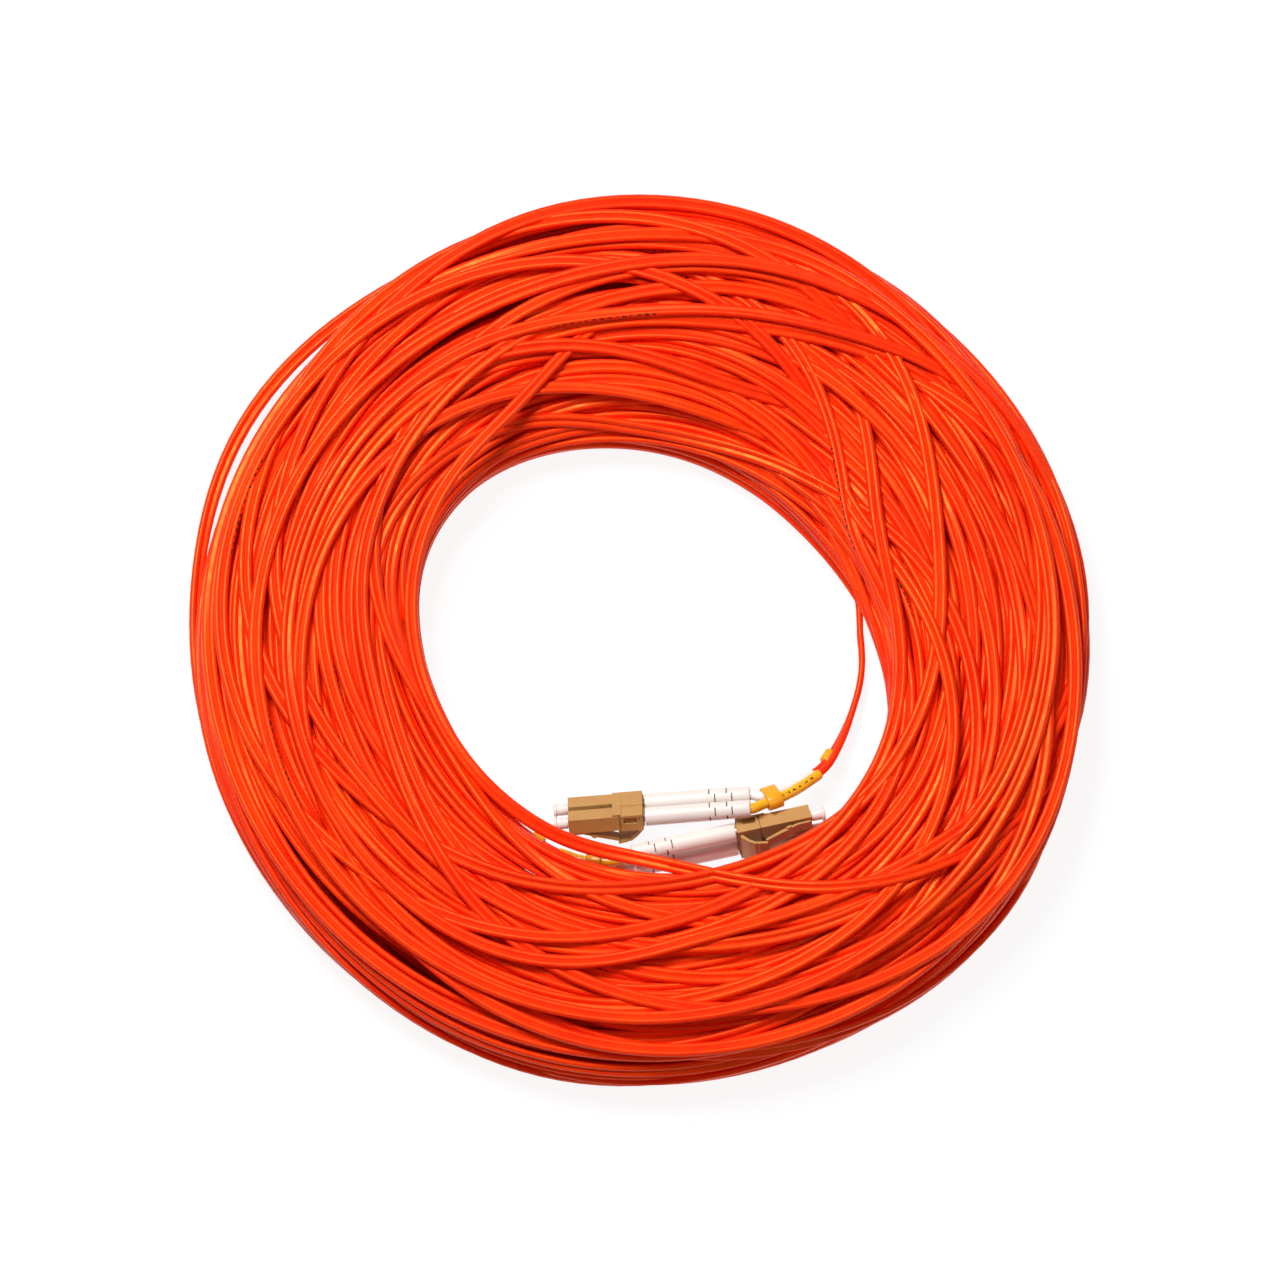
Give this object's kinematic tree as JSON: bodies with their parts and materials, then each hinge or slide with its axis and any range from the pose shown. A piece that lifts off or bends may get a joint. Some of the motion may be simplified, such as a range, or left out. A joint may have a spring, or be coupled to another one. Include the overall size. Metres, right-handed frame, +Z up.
{
  "type": "fiber optic patch cord",
  "caption": "Duplex fiber optic patch cord in a flat coil, with a latched duplex connector, dust caps and marked strain-relief sleeves at each end.",
  "frame": {"origin": "centre of the coil on the plane that it rests on", "axes": "+Z up, through the coil's thickness; +X and +Y in the coil's plane, with both connectors on the -Y side of the hole"},
  "size_m": [0.244, 0.2526, 0.026],
  "materials": {
    "orange_jacket": "satin",
    "beige_plastic": "matte",
    "white_plastic": "satin",
    "white_sleeve": "glossy",
    "cap_plastic": "translucent",
    "yellow_sleeve": "glossy",
    "ceramic": "polished",
    "steel": "brushed",
    "brass": "plain",
    "buffer": "translucent"
  },
  "bodies": {
    "cord": {"coil": "orange_jacket", "clip_1": "beige_plastic", "leg_ring_1": "yellow_sleeve", "housing_1a": "beige_plastic", "backpost_1a": "steel", "crimp_ring_1a": "brass", "boot_1a": "white_plastic", "leg_1a": "orange_jacket", "sleeve_1a": "white_sleeve", "fibre_1a": "buffer", "spring_1a": "steel", "housing_1b": "beige_plastic", "backpost_1b": "steel", "crimp_ring_1b": "brass", "boot_1b": "white_plastic", "leg_1b": "orange_jacket", "sleeve_1b": "yellow_sleeve", "fibre_1b": "buffer", "spring_1b": "steel", "clip_2": "beige_plastic", "leg_ring_2": "yellow_sleeve", "housing_2a": "beige_plastic", "backpost_2a": "steel", "crimp_ring_2a": "brass", "boot_2a": "white_plastic", "leg_2a": "orange_jacket", "sleeve_2a": "yellow_sleeve", "fibre_2a": "buffer", "spring_2a": "steel", "housing_2b": "beige_plastic", "backpost_2b": "steel", "crimp_ring_2b": "brass", "boot_2b": "white_plastic", "leg_2b": "orange_jacket", "sleeve_2b": "white_sleeve", "fibre_2b": "buffer", "spring_2b": "steel"},
    "trigger_1": {"trigger_1": "beige_plastic"},
    "band_1": {"band_1": "yellow_sleeve"},
    "latch_1a": {"latch_1a": "beige_plastic"},
    "ferrule_1a": {"ferrule_1a": "ceramic", "flange_1a": "steel"},
    "dust_cap_1a": {"dust_cap_1a": "cap_plastic"},
    "latch_1b": {"latch_1b": "beige_plastic"},
    "ferrule_1b": {"ferrule_1b": "ceramic", "flange_1b": "steel"},
    "dust_cap_1b": {"dust_cap_1b": "cap_plastic"},
    "trigger_2": {"trigger_2": "beige_plastic"},
    "band_2": {"band_2": "yellow_sleeve"},
    "latch_2a": {"latch_2a": "beige_plastic"},
    "ferrule_2a": {"ferrule_2a": "ceramic", "flange_2a": "steel"},
    "dust_cap_2a": {"dust_cap_2a": "cap_plastic"},
    "latch_2b": {"latch_2b": "beige_plastic"},
    "ferrule_2b": {"ferrule_2b": "ceramic", "flange_2b": "steel"},
    "dust_cap_2b": {"dust_cap_2b": "cap_plastic"}
  },
  "joints": [
    {"name": "trigger_1_press", "type": "hinge", "parent": "cord", "child": "trigger_1", "pos_m": [0.0008, -0.04971, 0.00739], "axis": [-0.0116, 0.767, -0.6416], "range_deg": [0, 14], "stiffness_Nm_per_rad": 0.06},
    {"name": "band_1_slide", "type": "slide", "parent": "cord", "child": "band_1", "axis": [0.923, 0.3532, -0.1529], "range_m": [0, 0.0015]},
    {"name": "latch_1a_press", "type": "hinge", "parent": "cord", "child": "latch_1a", "pos_m": [-0.01629, -0.04828, 0.00454], "axis": [0.0116, -0.767, 0.6416], "range_deg": [0, 8.7], "stiffness_Nm_per_rad": 0.03},
    {"name": "ferrule_1a_retract", "type": "slide", "parent": "cord", "child": "ferrule_1a", "axis": [0.9959, 0.0662, 0.061], "range_m": [0, 0.0006], "stiffness_N_per_m": 300, "deforming": ["spring_1a"]},
    {"name": "dust_cap_1a_pull", "type": "slide", "parent": "cord", "child": "dust_cap_1a", "axis": [-0.9959, -0.0662, -0.061], "range_m": [0, 0.0048]},
    {"name": "latch_1b_press", "type": "hinge", "parent": "cord", "child": "latch_1b", "pos_m": [-0.01622, -0.05308, 0.00855], "axis": [0.0116, -0.767, 0.6416], "range_deg": [0, 8.7], "stiffness_Nm_per_rad": 0.03},
    {"name": "ferrule_1b_retract", "type": "slide", "parent": "cord", "child": "ferrule_1b", "axis": [0.9959, 0.0662, 0.061], "range_m": [0, 0.0006], "stiffness_N_per_m": 300, "deforming": ["spring_1b"]},
    {"name": "dust_cap_1b_pull", "type": "slide", "parent": "cord", "child": "dust_cap_1b", "axis": [-0.9959, -0.0662, -0.061], "range_m": [0, 0.0048]},
    {"name": "trigger_2_press", "type": "hinge", "parent": "cord", "child": "trigger_2", "pos_m": [0.02817, -0.05752, 0.00813], "axis": [-0.0908, 0.4128, 0.9063], "range_deg": [0, 14], "stiffness_Nm_per_rad": 0.06},
    {"name": "band_2_slide", "type": "slide", "parent": "cord", "child": "band_2", "axis": [-0.9752, 0.1235, -0.1838], "range_m": [0, 0.0015]},
    {"name": "latch_2a_press", "type": "hinge", "parent": "cord", "child": "latch_2a", "pos_m": [0.04454, -0.05233, 0.01086], "axis": [0.0908, -0.4128, -0.9063], "range_deg": [0, 8.7], "stiffness_Nm_per_rad": 0.03},
    {"name": "ferrule_2a_retract", "type": "slide", "parent": "cord", "child": "ferrule_2a", "axis": [-0.9767, -0.2147, 0], "range_m": [0, 0.0006], "stiffness_N_per_m": 300, "deforming": ["spring_2a"]},
    {"name": "dust_cap_2a_pull", "type": "slide", "parent": "cord", "child": "dust_cap_2a", "axis": [0.9767, 0.2147, 0], "range_m": [0, 0.0048]},
    {"name": "latch_2b_press", "type": "hinge", "parent": "cord", "child": "latch_2b", "pos_m": [0.04511, -0.05491, 0.00519], "axis": [0.0908, -0.4128, -0.9063], "range_deg": [0, 8.7], "stiffness_Nm_per_rad": 0.03},
    {"name": "ferrule_2b_retract", "type": "slide", "parent": "cord", "child": "ferrule_2b", "axis": [-0.9767, -0.2147, 0], "range_m": [0, 0.0006], "stiffness_N_per_m": 300, "deforming": ["spring_2b"]},
    {"name": "dust_cap_2b_pull", "type": "slide", "parent": "cord", "child": "dust_cap_2b", "axis": [0.9767, 0.2147, 0], "range_m": [0, 0.0048]}
  ],
  "couplings": [
    {"joint": "latch_1a_press", "follows": "trigger_1_press", "ratio": 0.62},
    {"joint": "latch_1b_press", "follows": "trigger_1_press", "ratio": 0.62},
    {"joint": "latch_2a_press", "follows": "trigger_2_press", "ratio": 0.62},
    {"joint": "latch_2b_press", "follows": "trigger_2_press", "ratio": 0.62}
  ]
}
